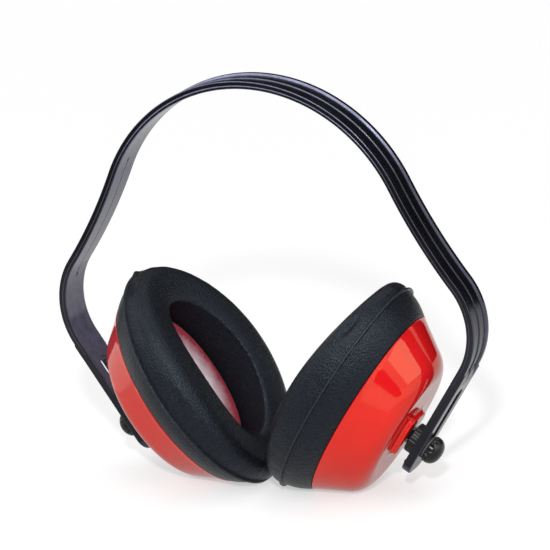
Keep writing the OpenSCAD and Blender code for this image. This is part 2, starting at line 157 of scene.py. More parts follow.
# Cushion
SEAM_A = 47.9
SEAM_B = 35.2
SEAM_AT = 37.1
SEAM_W = 0.7
HOLE_A = 30.5
HOLE_B = 17.4
CROWN_SIDE = 12.5
CROWN_END = 7.5
CROWN_FROM = 38.05
PLUMP = 0.7
LIP_DROP = 2.6
CROWN_SWEEP = 174
CROWN_EASE = 1.25
FILM = 0.9
BASE_AT = 28.5
SKIRT_IN = 0.6
SKIRT_BOW = 0.7
WALL_BOW = 0.5
NUB = 0.9
NUB_LEN = 0.05
SKIRT_RINGS = 14
CROWN_RINGS = 46
WALL_RINGS = 12

# Section of the seam flange, out from the seam and along w, and how far the rings of the backing lie out
FLANGE_OUT = [0.1, SEAM_W - 0.1, SEAM_W, SEAM_W - 0.05, 0.25, -0.2]
FLANGE_W = [-0.35, -0.35, 0.0, 0.35, 0.55, 0.75]
FLANGE_RINGS = len(FLANGE_OUT)
BACKING = [2.0, 6.0, 10.0]
BACK_RINGS = len(BACKING) + 1

# Cloth pressure in the covers, and how far it may move a point
PRESSURE = 4
STRETCH = 40
BENDING = 4
CLOTH_FRAMES = 20
SWELL = 1.2

# Puckers beside the seam: height of the fine and slow waves, and the rings over which they fade
PUCKER = 0.09
SLOW_PUCKER = 0.12
CROWN_FADE = 5.0
SKIRT_FADE = 3.0

# Pinches beside the seam: length along it in mm, then in rings the half width of the dent and of the swelling
# past it, and the way between them
PINCH_LEN = 4
DENT_RINGS = 1.6
BULGE_RINGS = 2
BULGE_PAST = 4
DENT_DEPTH = 1.2

# The pinches of each cushion: angle round the oval, rings past the seam, size
PINCHES = {1: [(320, 4, 1.1), (247, 3, 0.35), (285, 2, 0.25)],
           -1: [(306, 3, 0.4), (268, 3, 0.35), (338, 2, 0.4)]}

# Liner
LINER_AT = 11.1
LINER_H = 22.8
LINER_R = 2.5
LOOSE = 0.3
NUT_ROOM = 10.5
NUT_ROOM_H = 3.9
TOP_RINGS = 24
UNEVEN = 0.18

# Numbers a piece carries for its finish: rubbed edges with painted highlight, and painted red bounce light
RED_BOUNCE = "red_bounce"
WEAR_AND_HIGHLIGHT = "wear_and_highlight"

# Procedural textures
NOISE = "ShaderNodeTexNoise"
CELLS = "ShaderNodeTexVoronoi"

# The axes of the right cup, from the joints of the frame
UP_ARM = np.array(JOINTS["right_height"]["axis"], float)
STUD_AXIS = np.array(JOINTS["right_swivel"]["axis"], float)
BALL = np.array(JOINTS["right_tilt"]["pos_m"], float) / MM
STUD_POINT = BALL - BALL_AT * STUD_AXIS
ARM_LEAN = math.degrees(math.atan2(UP_ARM[0], UP_ARM[2]))


def placed(side, points):
    """Points in a cup's own (u, y, w) to the shared frame: the stud's point + u up the arm + y to the back
    + w along the stud, with x mirrored for the left cup."""
    depth = np.array([0.0, 1.0, 0.0])
    world = (STUD_POINT + points[..., :1] * UP_ARM + points[..., 1:2] * depth
             + points[..., 2:] * STUD_AXIS)
    return world * np.array([side, 1, 1])


def floor_u(level, off):
    """The u at which a point of a cup at level w is `off` above the floor."""
    return (off - STUD_POINT[2] - level * STUD_AXIS[2]) / UP_ARM[2]


def soft_floor(points, off, ease=0.25):
    """Points kept above the floor: u becomes a smooth maximum of u and the floor's u at that level."""
    lowest = floor_u(points[..., 2], off)
    over = (points[..., 0] - lowest) / ease
    kept = np.where(over > 30, points[..., 0], lowest + ease * np.log1p(np.exp(np.minimum(over, 30))))
    return np.stack([kept, points[..., 1], points[..., 2]], axis=-1)


def skin(points, along_closed=False, ends=False):
    """Quads over a grid of points whose rows are closed rings; the rows close on each other if asked,
    or each end is closed by a fan on its middle. Faces are turned so that the volume is positive."""
    rows, cols = points.shape[:2]
    index = np.arange(rows * cols).reshape(rows, cols)
    vertices = points.reshape(-1, 3)
    if along_closed:
        index = np.vstack([index, index[:1]])
    index = np.hstack([index, index[:, :1]])
    quads = np.stack([index[:-1, :-1], index[:-1, 1:], index[1:, 1:], index[1:, :-1]], axis=-1)
    quads = quads.reshape(-1, 4)
    fans = np.zeros((0, 3), int)
    if ends:
        first = np.full(cols, rows * cols)
        last = first + 1
        vertices = np.vstack([vertices, points[0].mean(axis=0), points[-1].mean(axis=0)])
        fans = np.vstack([np.stack([first, index[0, 1:], index[0, :-1]], axis=-1),
                          np.stack([last, index[-1, :-1], index[-1, 1:]], axis=-1)])
    triangles = np.vstack([quads[:, :3], quads[:, [0, 2, 3]], fans])
    a, b, c = (vertices[triangles[:, k]] for k in range(3))
    if np.einsum("ij,ij->", a, np.cross(b, c)) < 0:
        quads = quads[:, ::-1]
        fans = fans[:, ::-1]
    return vertices, quads.tolist() + fans.tolist()


def piece(name, parts, sharp=40):
    """One object from one or more closed skins, smooth except along edges sharper than `sharp` degrees."""
    made = []
    for vertices, faces in parts:
        mesh = bpy.data.meshes.new(name)
        mesh.from_pydata(vertices * MM, [], faces)
        obj = bpy.data.objects.new(name, mesh)
        bpy.context.scene.collection.objects.link(obj)
        made.append(obj)
    base = made[0]
    for other in made[1:]:
        join = base.modifiers.new("join", "BOOLEAN")
        join.operation = "UNION"
        join.solver = "MANIFOLD"
        join.object = other
    if len(made) > 1:
        graph = bpy.context.evaluated_depsgraph_get()
        whole = bpy.data.meshes.new_from_object(base.evaluated_get(graph))
        base.modifiers.clear()
        base.data = whole
        for other in made[1:]:
            bpy.data.objects.remove(other)
    base.name = name
    base.data.name = name
    base.data.shade_smooth()
    base.data.set_sharp_from_angle(angle=math.radians(sharp))
    return base


def dress(obj, body, material, slot, *nodes):
    """Gives a piece its body, its finish and the solids it stands for."""
    obj.data.materials.clear()
    obj.data.materials.append(material)
    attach(obj, body)
    if nodes:
        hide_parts(*nodes)
    return obj


def eased(corners, radii, steps=5, guard=0.05):
    """A closed outline whose corners are replaced by quadratic curves that start a radius away from them. A
    point a little before and after each curve keeps the flats between them flat when they are shaded."""
    corners = np.array(corners, float)
    reach = np.broadcast_to(np.array(radii, float), (len(corners),))[:, None]
    back = np.roll(corners, 1, axis=0) - corners
    ahead = np.roll(corners, -1, axis=0) - corners
    back = back / np.linalg.norm(back, axis=1, keepdims=True)
    ahead = ahead / np.linalg.norm(ahead, axis=1, keepdims=True)
    enter, leave = corners + back * reach, corners + ahead * reach
    t = np.linspace(0, 1, steps)[None, :, None]
    curve = (1 - t) ** 2 * enter[:, None] + 2 * t * (1 - t) * corners[:, None] + t ** 2 * leave[:, None]
    before, after = (enter + back * guard)[:, None], (leave + ahead * guard)[:, None]
    return np.hstack([before, curve, after]).reshape(-1, 2)


def spun(profile, side, around=96, grip=None):
    """A profile of (radius, w) turned about the stud axis; grip changes the radius by angle and place."""
    turn = np.linspace(0, 2 * np.pi, around, endpoint=False)[None, :]
    radius = profile[:, :1] * np.ones_like(turn)
    if grip is not None:
        radius = radius - grip(turn, profile)
    level = profile[:, 1:] * np.ones_like(turn)
    points = np.stack([radius * np.cos(turn), radius * np.sin(turn), level], axis=-1)
    return skin(placed(side, points), ends=True)


def signed_power(value, power):
    """The power of the size of a value, with its sign kept."""
    return np.sign(value) * np.abs(value) ** power


def oval_rings(a, b, square, level, around):
    """Rings of half axes a and b at a level: superellipses, where square 2 is an ellipse and more is
    boxier."""
    turn = np.linspace(0, 2 * np.pi, around, endpoint=False)[None, :]
    a, b, square, level = (np.asarray(v, float)[:, None] for v in (a, b, square, level))
    u = a * signed_power(np.cos(turn), 2 / square)
    y = b * signed_power(np.sin(turn), 2 / square)
    return np.stack([u, y, level * np.ones_like(turn)], axis=-1)


# Strip


def strip_path():
    """Middle line of the strip from the left arm to the right: a crown arc, legs that bow inward on a long
    arc, shoulder arcs and the start of each arm. Each arc starts where the one before it ends, with the same
    direction. Columns: x, z, outward x, outward z, run past the arm's start, run past the hip."""
    hip, knee, arm = (math.radians(angle) for angle in (HIP_LEAN, KNEE_LEAN, ARM_LEAN))
    arm_start = STUD_POINT[[0, 2]] + STUD_ALONG * UP_ARM[[0, 2]]
    shoulder_at = arm_start - SHOULDER_R * np.array([math.cos(arm), -math.sin(arm)])
    leg_r = LEG_LEN / (knee - hip)
    leg_at = shoulder_at + (SHOULDER_R + leg_r) * np.array([math.cos(knee), math.sin(knee)])
    crown_r = leg_at[0] / math.cos(hip) - leg_r
    crown_at = np.array([0, leg_at[1] - (leg_r + crown_r) * math.sin(hip)])
    run = np.concatenate([np.linspace(0, STEP_LEN, 7)[1:], np.linspace(STEP_LEN, RAMP_LEN, 12)[1:],
                          [RAMP_LEN + 0.3, RAMP_LEN + 0.5]])

    def bend(centre, radius, turn, past=0):
        """An arc: the centre plus the radius along each direction, with the direction and the run."""
        out = np.stack([np.cos(turn), np.sin(turn)], axis=-1)
        return np.hstack([centre + radius * out, out, np.broadcast_to(past, turn.shape)[:, None]])

    crown = np.linspace(math.pi / 2, hip, CROWN_STEPS)
    start_of_arm = bend(np.zeros(2), 0, np.full(run.size, -arm), run)
    start_of_arm[:, :2] = arm_start - run[:, None] * UP_ARM[[0, 2]]
    right = np.vstack([
        bend(crown_at, crown_r, crown), bend(leg_at, -leg_r, np.linspace(hip, knee, BEND_STEPS)[1:-1]),
        bend(shoulder_at, SHOULDER_R, np.linspace(knee, -arm, BEND_STEPS)), start_of_arm])
    length = np.cumsum(np.append(0, np.linalg.norm(np.diff(right[:, :2], axis=0), axis=1)))
    right = np.hstack([right, (length - length[crown.size - 1])[:, None]])
    left = right[:0:-1] * np.array([-1, 1, -1, 1, 1, 1])
    return np.vstack([left, right])


def strip_section():
    """Cross section of the strip as (y, offset): two rims, a channel and a fine rib on the outer face, a
    parting ridge along each side, and a flat inner face with five points in its middle for the groove."""
    half, top, floor = BAND_W / 2, BAND_T / 2, BAND_T / 2 - CHANNEL_D
    rim, rib = half - RIM_W, RIB_W / 2
    half_outline = [(half, -top), (half, PARTING_AT - PARTING_W), (half + PARTING_H, PARTING_AT),
                    (half, PARTING_AT + PARTING_W), (half, top), (rim, top), (rim - RIM_SLOPE, floor),
                    (rib + RIB_FOOT, floor), (rib, floor + RIB_H)]
    other_half = [(-y, o) for y, o in half_outline[::-1]]
    outside = GROOVE_W + GROOVE_EDGE
    groove = [(y, -top) for y in (-outside, -GROOVE_W, 0, GROOVE_W, outside)]
    return np.vstack([eased(half_outline + other_half, SECTION_RADII + SECTION_RADII[::-1]), groove])


def strip_skin():
    """The section carried along the path. Past the arm's start the rims rise to the arm's thickness over a
    short step, and the channel ramps up until it is flush. Down each leg the middle of the inner face sinks
    to a groove, with a bell-shaped pit at each end of it."""
    path = strip_path()
    section = strip_section()
    y, offset = section[:, 0][None, :], section[:, 1][None, :]
    past = path[:, 4:5]
    outer = np.where(offset > 0, 1.0, 0.0)
    flush = outer * (np.abs(y) < BAND_W / 2 - BAND_EDGE)
    offset = offset + outer * ARM_EXTRA * np.clip(past / STEP_LEN, 0, 1)
    offset = offset + flush * (-ARM_OUT - offset) * np.clip(past / RAMP_LEN, 0, 1)
    down = path[:, 5:6]
    grooved = (down > GROOVE_FROM) & (down < GROOVE_TO)
    pit = np.exp(-((down - GROOVE_FROM) / PIT_LEN) ** 2) + np.exp(-((down - GROOVE_TO) / PIT_LEN) ** 2)
    from_end = y.size - np.arange(y.size)[None, :]
    middle = from_end <= GROOVE_POINTS
    deepest = from_end == (GROOVE_POINTS + 1) // 2
    y = y + middle * np.sign(y) * PIT_W * pit
    offset = offset + deepest * (GROOVE_D * grooved + PIT_D * pit)
    points = np.stack([path[:, 0:1] + offset * path[:, 2:3], y,
                       path[:, 1:2] + offset * path[:, 3:4]], axis=-1)
    return skin(points, ends=True)


def loop_normals(loop, inward):
    """Unit normals of a closed outline, from the chord between each point's neighbours."""
    chord = np.roll(loop, -1, axis=0) - np.roll(loop, 1, axis=0)
    normal = np.stack([-chord[:, 1], chord[:, 0]], axis=-1) * inward
    return normal / np.linalg.norm(normal, axis=1, keepdims=True)


def arm_skin(side, edge=0.5):
    """A slotted arm: a ring-shaped plate between its outer outline and the slot's outline. Its section is
    carried round from the rounded outer edge over one face to the slot, through it and back."""
    half, slot_half = BAND_W / 2, SLOT_W / 2
    top = STUD_ALONG - RAMP_LEN + ARM_LAP
    long_side, end, start = 70, 13, 24
    quarter = np.linspace(0, np.pi / 2, end)
    tip_u, tip_y = TIP_R - TIP_LEN, half - TIP_R
    first_corner = np.stack([tip_u - TIP_R * np.sin(quarter), tip_y + TIP_R * np.cos(quarter)], axis=-1)
    second_corner = first_corner[::-1] * np.array([1, -1])
    run = np.linspace(top, tip_u, long_side)[:-1, None]
    across = np.linspace(-half, half, start)[1:-1, None]
    outline = np.vstack([
        np.hstack([run, np.full_like(run, half)]), first_corner, second_corner,
        np.hstack([run[::-1], np.full_like(run, -half)]), np.hstack([np.full_like(across, top), across])])
    slot_run = np.linspace(SLOT_UP - slot_half, SLOT_LOW, long_side)[:-1, None]
    low = np.linspace(slot_half, -slot_half, 2 * end)[:, None]
    cap = np.linspace(-np.pi / 2, np.pi / 2, start)[1:-1]
    cap = np.stack([SLOT_UP - slot_half + slot_half * np.cos(cap), slot_half * np.sin(cap)], axis=-1)
    slot = np.vstack([
        np.hstack([slot_run, np.full_like(slot_run, slot_half)]),
        np.hstack([np.full_like(low, SLOT_LOW), low]),
        np.hstack([slot_run[::-1], np.full_like(slot_run, -slot_half)]), cap])
    into, away = loop_normals(outline, 1), loop_normals(slot, -1)
    turn = np.linspace(0, np.pi / 2, 5)
    inset, drop = edge * (1 - np.cos(turn)), edge * (1 - np.sin(turn))
    outer_edge = outline[None] + into[None] * inset[:, None, None]
    slot_edge = (slot[None] + away[None] * inset[:, None, None])[::-1]
    share = np.array([0.02, 0.2, 0.4, 0.6, 0.8, 0.98])[:, None, None]
    face = outer_edge[-1] * (1 - share) + slot_edge[0] * share
    flat = np.vstack([outer_edge, face, slot_edge])
    depth = np.concatenate([drop, np.zeros(share.size), drop[::-1]])[:, None]
    inner = np.dstack([flat, np.broadcast_to(ARM_IN - ARM_SINK - depth, flat.shape[:2])])
    outer = np.dstack([flat, np.broadcast_to(ARM_OUT + ARM_SINK + depth, flat.shape[:2])])[::-1]
    return skin(placed(side, np.vstack([inner, outer])), along_closed=True)


def stop_skin(side):
    """The wedge that stops the slide block: a side outline carried across the arm, drawn in at both ends."""
    low = STOP_IN - TIP_LEN
    high = low + STOP_LEN
    foot = ARM_IN - STOP_SINK
    outline = eased([(low, foot), (low, ARM_IN + 0.1), (high - STOP_BACK, ARM_IN + STOP_H),
                     (high, ARM_IN), (high, foot)], 0.2, 4)
    y, keep = np.array(STOP_ACROSS).T[..., None]
    middle = outline.mean(axis=0)
    u = middle[0] + (outline[:, 0] - middle[0])[None] * keep
    w = middle[1] + (outline[:, 1] - middle[1])[None] * keep
    return skin(placed(side, np.stack([u, y * np.ones_like(u), w], axis=-1)), ends=True)


# Slide block and knob


def slide_block_skins(side):
    """Collar turned about the stud axis with a ball socket, a key that fills the slot, and the shank."""
    turn = np.pi - np.linspace(0, np.pi, 30)
    mouth = turn > math.acos((COLLAR_END - BALL_AT) / SOCKET_R)
    socket = np.stack([SOCKET_R * np.sin(turn[mouth]), BALL_AT + SOCKET_R * np.cos(turn[mouth])], axis=-1)[1:]
    r = COLLAR_D / 2
    base = ARM_IN + 0.05
    shoulder = eased([(3.0, COLLAR_END), (r, COLLAR_END - COLLAR_RELIEF), (r, base), (1, base)],
                     [0.1, 0.35, 0.35, 0.1], 6)

    def ridges(turn, where):
        """Depth of the fine ridges: a clipped cosine of the angle, on the outermost part of the collar."""
        return RIDGE_D * (where[:, :1] > 0.9 * r) * np.clip(np.cos(COLLAR_RIDGES * turn), -0.2, 1)

    collar = spun(np.vstack([[(POLE_R, BALL_AT - SOCKET_R)], socket, shoulder, [(POLE_R, base)]]), side,
                  COLLAR_RIDGES * 12, ridges)
    key_a, key_b = np.array(KEY_RINGS).T
    key_at = [ARM_OUT, ARM_OUT + 0.1, ARM_OUT + 0.3, ARM_IN, ARM_IN + 0.2, ARM_IN + 0.4]
    key = oval_rings(key_a, key_b, [KEY_SQUARE] * len(KEY_RINGS), key_at, 96)
    shank_r, shank_from, chamfer = SHANK_D / 2, ARM_OUT + 0.5, 0.4
    shank = spun(np.array([(POLE_R, shank_from), (shank_r, shank_from), (shank_r, SHANK_END + chamfer),
                           (shank_r - chamfer, SHANK_END), (POLE_R, SHANK_END)]), side, 48)
    return [collar, skin(placed(side, key), ends=True), shank]


def knob_skin(side):
    """Thumb nut: a blind bore, a flat base, a fluted grip and a domed end, turned about the stud axis. The
    flutes are a power of a cosine of the angle that fades out toward the dome."""
    r, end = KNOB_D / 2, KNOB_BASE - KNOB_H
    dome_at = end + DOME_H
    dome = np.radians(np.linspace(0, 90, 18))
    bore = SHANK_D / 2 + 0.05
    profile = np.vstack([
        [(POLE_R, KNOB_BASE - KNOB_BORE), (bore, KNOB_BASE - KNOB_BORE), (bore, KNOB_BASE)],
        eased([(bore + 0.5, KNOB_BASE), (r, KNOB_BASE), (r, KNOB_BASE - 1)], [0.1, 0.5, 0.1], 6)[5:-1],
        np.stack([np.full(8, r), np.linspace(KNOB_BASE - 1, dome_at + 0.1, 8)], axis=-1),
        np.stack([DOME_R + (r - DOME_R) * np.cos(dome), dome_at - DOME_H * np.sin(dome)], axis=-1),
        [(0.5 * DOME_R, end - 0.08), (POLE_R, end - 0.1)]])

    def grip(turn, where):
        """Depth of the flutes: a power of a clipped cosine, faded along the knob and toward its middle."""
        along = np.clip((where[:, 1:] - dome_at + 1.1) / 1.3, 0, 1)
        outside = np.clip((where[:, :1] - 0.8 * r) / (0.15 * r), 0, 1)
        return FLUTE_D * along * outside * np.clip(np.cos(FLUTES * turn) + 0.25, 0, 1.25) ** 1.5

    return spun(profile, side, FLUTES * 14, grip)


# Shell


def wall_a(level, inset):
    """Half long axis of the shell's drafted wall at a level, set in by an inset square to the wall."""
    slope = math.radians(ARM_LEAN)
    return CUP_A - (RIM_AT - level) * math.tan(slope) - inset / math.cos(slope)


def shell_corner(level, inset, r, steps):
    """Arc between the flat face at a level and the drafted wall, as (half axis, level)."""
    sweep = np.radians(np.linspace(0, 90 - ARM_LEAN, steps))
    centre = wall_a(level + r, inset) - r / math.cos(math.radians(ARM_LEAN))
    return np.stack([centre + r * np.sin(sweep), level + r - r * np.cos(sweep)], axis=-1)


def shell_skin(side, around=192):
    """One closed skin of rings: bore, boss, outer face, rounded corner, drafted wall, rim, neck, inner wall
    and inner face back to the bore. Boss rings are boxy and turn into the ellipses of the cup."""
    def ovals(profile):
        """Ellipses in the cup's ratio, from pairs of half axis and level."""
        return [(a, a * CUP_RATIO, 2, level) for a, level in profile]

    def circle(r, level):
        """A round ring."""
        return (r, r, 2, level)

    def box(grow, level):
        """A boxy ring of the boss, grown by a length all round."""
        return (BOSS_L / 2 + grow, BOSS_W / 2 + grow, BOSS_SQUARE, level)

    outer = shell_corner(FACE_AT, 0, CORNER_R, 16)
    inner = shell_corner(FACE_AT + WALL, WALL, CORNER_R - WALL, 10)[::-1]
    flat_a = outer[0, 0]
    to_flat = np.linspace(0, 1, 6)[1:-1]
    boss = ([box(grow, BOSS_AT + depth) for grow, depth in BOSS_TOP]
            + [box(grow, FACE_AT - height) for grow, height in BOSS_FOOT])
    flat = (flat_a, flat_a * CUP_RATIO, 2, FACE_AT)
    face = [tuple(np.array(boss[-1]) * (1 - t) + np.array(flat) * t) for t in to_flat]
    wall_level = np.linspace(outer[-1, 1], RIM_AT - 0.6, 8)[1:]
    wall = [(wall_a(level, 0), level) for level in wall_level]
    edge = [(CUP_A - 0.05, RIM_AT - 0.25), (CUP_A - 0.25, RIM_AT - 0.05), (CUP_A - 0.6, RIM_AT)]
    neck_in = NECK_A - NECK_T
    neck = [(NECK_A + 0.2, RIM_AT), (NECK_A, RIM_AT + 0.2), (NECK_A, NECK_TOP - 0.3),
            (NECK_A - 0.3, NECK_TOP), (neck_in + 0.3, NECK_TOP), (neck_in, NECK_TOP - 0.3)]
    inner_level = np.linspace(RIM_AT - WALL, inner[0, 1], 6)[:-1]
    inner_wall = [(min(wall_a(level, WALL), neck_in), level) for level in inner_level]
    bore = [circle(STUD_BORE_R, PAD_AT), circle(STUD_BORE_R, FLANGE_SEAT_AT),
            circle(FLANGE_SEAT_R, FLANGE_SEAT_AT), circle(FLANGE_SEAT_R, BOSS_AT + 0.2),
            circle(FLANGE_SEAT_R + 0.2, BOSS_AT)]
    pad = [(flat_a - WALL, (flat_a - WALL) * CUP_RATIO, 2, FACE_AT + WALL), box(0, FACE_AT + WALL),
           box(0, PAD_AT - 0.05), box(-0.3, PAD_AT)]
    rings = (bore + boss + face + ovals(outer) + ovals(wall) + ovals(edge) + ovals(neck) + ovals(inner_wall)
             + ovals(inner) + pad)
    a, b, square, level = np.array(rings).T
    points = oval_rings(a, b, square, level, around)
    return skin(placed(side, soft_floor(points, 0.0)), along_closed=True)


# Cushion


def cushion_rings(around=240):
    """Rings of a cushion: skirt from the shell's rim to the seam, flange, crown over to the ear opening, wall
    of the opening and the backing. The crown is a signed power of sine and cosine, lower at the oval's ends;
    its outer half rises from the seam and its inner half falls only to the lip."""
    turn = np.linspace(0, 2 * np.pi, around, endpoint=False)[None, :]
    climb = np.linspace(0, 1, SKIRT_RINGS)[:, None]
    skirt_bow = SKIRT_BOW * np.sin(np.pi * climb)
    skirt_a = CUP_A + (SEAM_A - SKIRT_IN - CUP_A) * climb + skirt_bow
    skirt_b = CUP_A * CUP_RATIO + (SEAM_B - SKIRT_IN - CUP_A * CUP_RATIO) * climb + skirt_bow
    skirt_w = RIM_AT + 0.1 + (SEAM_AT - 0.5 - RIM_AT) * climb
    flange_out = np.array(FLANGE_OUT)[:, None]
    flange_w = SEAM_AT + np.array(FLANGE_W)[:, None]
    nub = NUB * np.exp(-(np.sin(turn) / NUB_LEN) ** 2) * (flange_out > 0.5)
    over = np.pi - math.radians(CROWN_SWEEP) * np.linspace(1, 0, CROWN_RINGS)[:, None] ** CROWN_EASE
    share = 0.5 - 0.5 * signed_power(np.cos(over), PLUMP)
    rise = np.abs(signed_power(np.sin(over), PLUMP))
    height = CROWN_END + (CROWN_SIDE - CROWN_END) * np.sin(turn) ** 2
    low = (over > np.pi / 2) * (height - LIP_DROP)
    down = np.linspace(0, 1, WALL_RINGS + 1)[1:, None]
    wall_bow = WALL_BOW * np.sin(np.pi * down)
    wall_from = CROWN_FROM + height - LIP_DROP
    back = np.array(BACKING)[:, None]
    one = np.ones_like(turn)
    a = np.vstack([skirt_a * one, SEAM_A + flange_out + nub, (SEAM_A * (1 - share) + HOLE_A * share) * one,
                   (HOLE_A - wall_bow) * one, (HOLE_A + back) * one, [[CUP_A - FILM]] * one])
    b = np.vstack([skirt_b * one, (SEAM_B + flange_out) * one, (SEAM_B * (1 - share) + HOLE_B * share) * one,
                   (HOLE_B - wall_bow) * one, (HOLE_B + back) * one, [[CUP_A * CUP_RATIO - FILM]] * one])
    w = np.vstack([skirt_w * one, flange_w * one, CROWN_FROM + low + (height - low) * rise,
                   wall_from + (BASE_AT - wall_from) * down, BASE_AT * one * np.ones_like(back),
                   [[RIM_AT + 0.15]] * one])
    return soft_floor(np.stack([a * np.cos(turn), b * np.sin(turn), w], axis=-1), 0.1)


def swelled(rings, held):
    """The rings of a closed skin after cloth pressure: held rings stay, and no point moves further than
    SWELL."""
    vertices, faces = skin(rings, along_closed=True)
    mesh = bpy.data.meshes.new("cover_trial")
    mesh.from_pydata(vertices * MM, [], faces)
    trial = bpy.data.objects.new("cover_trial", mesh)
    bpy.context.scene.collection.objects.link(trial)
    group = trial.vertex_groups.new(name="held")
    group.add(np.flatnonzero(np.repeat(held, rings.shape[1])).tolist(), 1.0, "REPLACE")
    cloth = trial.modifiers.new("cover", "CLOTH")
    cloth.settings.use_pressure = True
    cloth.settings.uniform_pressure_force = PRESSURE
    cloth.settings.vertex_group_mass = "held"
    cloth.settings.effector_weights.gravity = 0
    cloth.settings.tension_stiffness = STRETCH
    cloth.settings.compression_stiffness = STRETCH
    cloth.settings.bending_stiffness = BENDING
    scene = bpy.context.scene
    for number in range(1, CLOTH_FRAMES + 1):
        scene.frame_set(number)
    graph = bpy.context.evaluated_depsgraph_get()
    moved = np.empty(len(mesh.vertices) * 3, np.float32)
    trial.evaluated_get(graph).data.vertices.foreach_get("co", moved)
    scene.frame_set(1)
    bpy.data.objects.remove(trial)
    shift = moved.reshape(-1, 3) / MM - vertices
    length = np.linalg.norm(shift, axis=1, keepdims=True)
    shift = shift * np.minimum(1, SWELL / np.maximum(length, 1e-6))
    return (vertices + shift).reshape(rings.shape)


def cushion_cover(side):
    """A cushion cover in its cup's own axes: the formed rings, swelled by cloth pressure between the backing,
    the seam and the opening's lower edge, then puckered a little beside the seam by a sum of sines and
    pinched at a few places by a bell-shaped dent with a bell-shaped swelling beside it."""
    rings = cushion_rings()
    count = rings.shape[0]
    seam = SKIRT_RINGS + FLANGE_RINGS
    held = np.zeros(count, bool)
    held[:2] = True
    held[SKIRT_RINGS:seam] = True
    held[-BACK_RINGS - 3:] = True
    rings = swelled(rings, held)
    turn = np.linspace(0, 2 * np.pi, rings.shape[1], endpoint=False)[None, :]
    crown = np.zeros((count, 1))
    crown[seam:seam + CROWN_RINGS, 0] = np.exp(-np.arange(CROWN_RINGS) / CROWN_FADE)
    skirt = np.zeros((count, 1))
    skirt[2:SKIRT_RINGS, 0] = np.exp(-np.arange(SKIRT_RINGS - 2)[::-1] / SKIRT_FADE)
    fine = (np.sin(23 * turn + 1 + side) + 0.8 * np.sin(37 * turn + 2.1)
            + 0.6 * np.sin(61 * turn + 0.7 * side))
    slow = np.sin(3 * turn + 0.6 + side) + 0.7 * np.sin(5 * turn + 2)
    out = np.concatenate([rings[..., :2] / np.linalg.norm(rings[..., :2], axis=-1, keepdims=True),
                          np.full(rings.shape[:2] + (1,), 0.6)], axis=-1)
    ring = np.arange(count)[:, None] - seam
    pinch = np.zeros(rings.shape[:2])
    for angle, at, size in PINCHES[side]:
        apart = np.angle(np.exp(1j * (turn - math.radians(angle)))) * SEAM_B
        bulge = np.exp(-((ring - at - BULGE_PAST) / BULGE_RINGS) ** 2)
        dent = DENT_DEPTH * np.exp(-((ring - at) / DENT_RINGS) ** 2)
        pinch = pinch + size * np.exp(-(apart / PINCH_LEN) ** 2) * (bulge - dent)
    pucker = (PUCKER * fine + SLOW_PUCKER * slow) * (crown + 0.7 * skirt)
    rings = rings + out * (pucker + pinch)[..., None]
    return soft_floor(rings, 0.1)


def liner_skin(side, around=128):
    """Foam pad: rings from the middle of its top out to a rounded edge, down through the ear opening, out
    into the shell and under, with room for the nut. A few sines make the top a little uneven."""
    top = LINER_AT + LINER_H
    plug_a, plug_b = HOLE_A - LOOSE - 0.3, HOLE_B - LOOSE - 0.3
    mouth_a = NECK_A - NECK_T - 2 * LOOSE
    corner_end = shell_corner(FACE_AT + WALL, WALL, CORNER_R - WALL, 2)[-1]
    foot_a, foot_at = corner_end + np.array([-2 * LOOSE, LOOSE])
    flat = np.linspace(0.02, 1, TOP_RINGS)
    bend = np.radians(np.linspace(0, 90, 8))[1:]
    inset = LINER_R * (1 - np.sin(bend))
    out = np.concatenate([flat * (plug_a - LINER_R), plug_a - inset, [plug_a, plug_a]])
    across = np.concatenate([flat * (plug_b - LINER_R), plug_b - inset, [plug_b, plug_b]])
    level = np.concatenate([np.full(TOP_RINGS, top), top - LINER_R * (1 - np.cos(bend)),
                            [BASE_AT + 2, BASE_AT]])
    below_a = np.array([mouth_a, foot_a, foot_a - 7, NUT_ROOM, NUT_ROOM - 0.1, 0.3])
    below_w = np.array([RIM_AT - WALL, foot_at, LINER_AT, LINER_AT, LINER_AT + NUT_ROOM_H,
                        LINER_AT + NUT_ROOM_H])
    points = oval_rings(np.append(out, below_a), np.append(across, below_a * CUP_RATIO),
                        np.full(out.size + below_a.size, 2.0), np.append(level, below_w), around)
    u, y = points[..., 0], points[..., 1]
    wave = (np.sin(0.31 * u + 0.9) * np.cos(0.42 * y) + 0.6 * np.sin(0.73 * u - 0.55 * y + 2)
            + 0.4 * np.sin(1.3 * y + u))
    points[:TOP_RINGS, :, 2] += UNEVEN * wave[:TOP_RINGS]
    return skin(placed(side, points), ends=True)


def seam_wear_and_highlight(obj, rings):
    """A number on each point of a cushion cover for a paler seam line, partly rubbed and partly a painted
    highlight on the flange's edge: 1 round the outermost rings of the seam flange, else 0.
    """
    ring = np.arange(rings.shape[0]) - SKIRT_RINGS
    worn_and_lit = obj.data.attributes.new(WEAR_AND_HIGHLIGHT, "FLOAT", "POINT")
    worn_and_lit.data.foreach_set("value", np.repeat((ring > 0) & (ring < 4), rings.shape[1]).astype(np.float32))


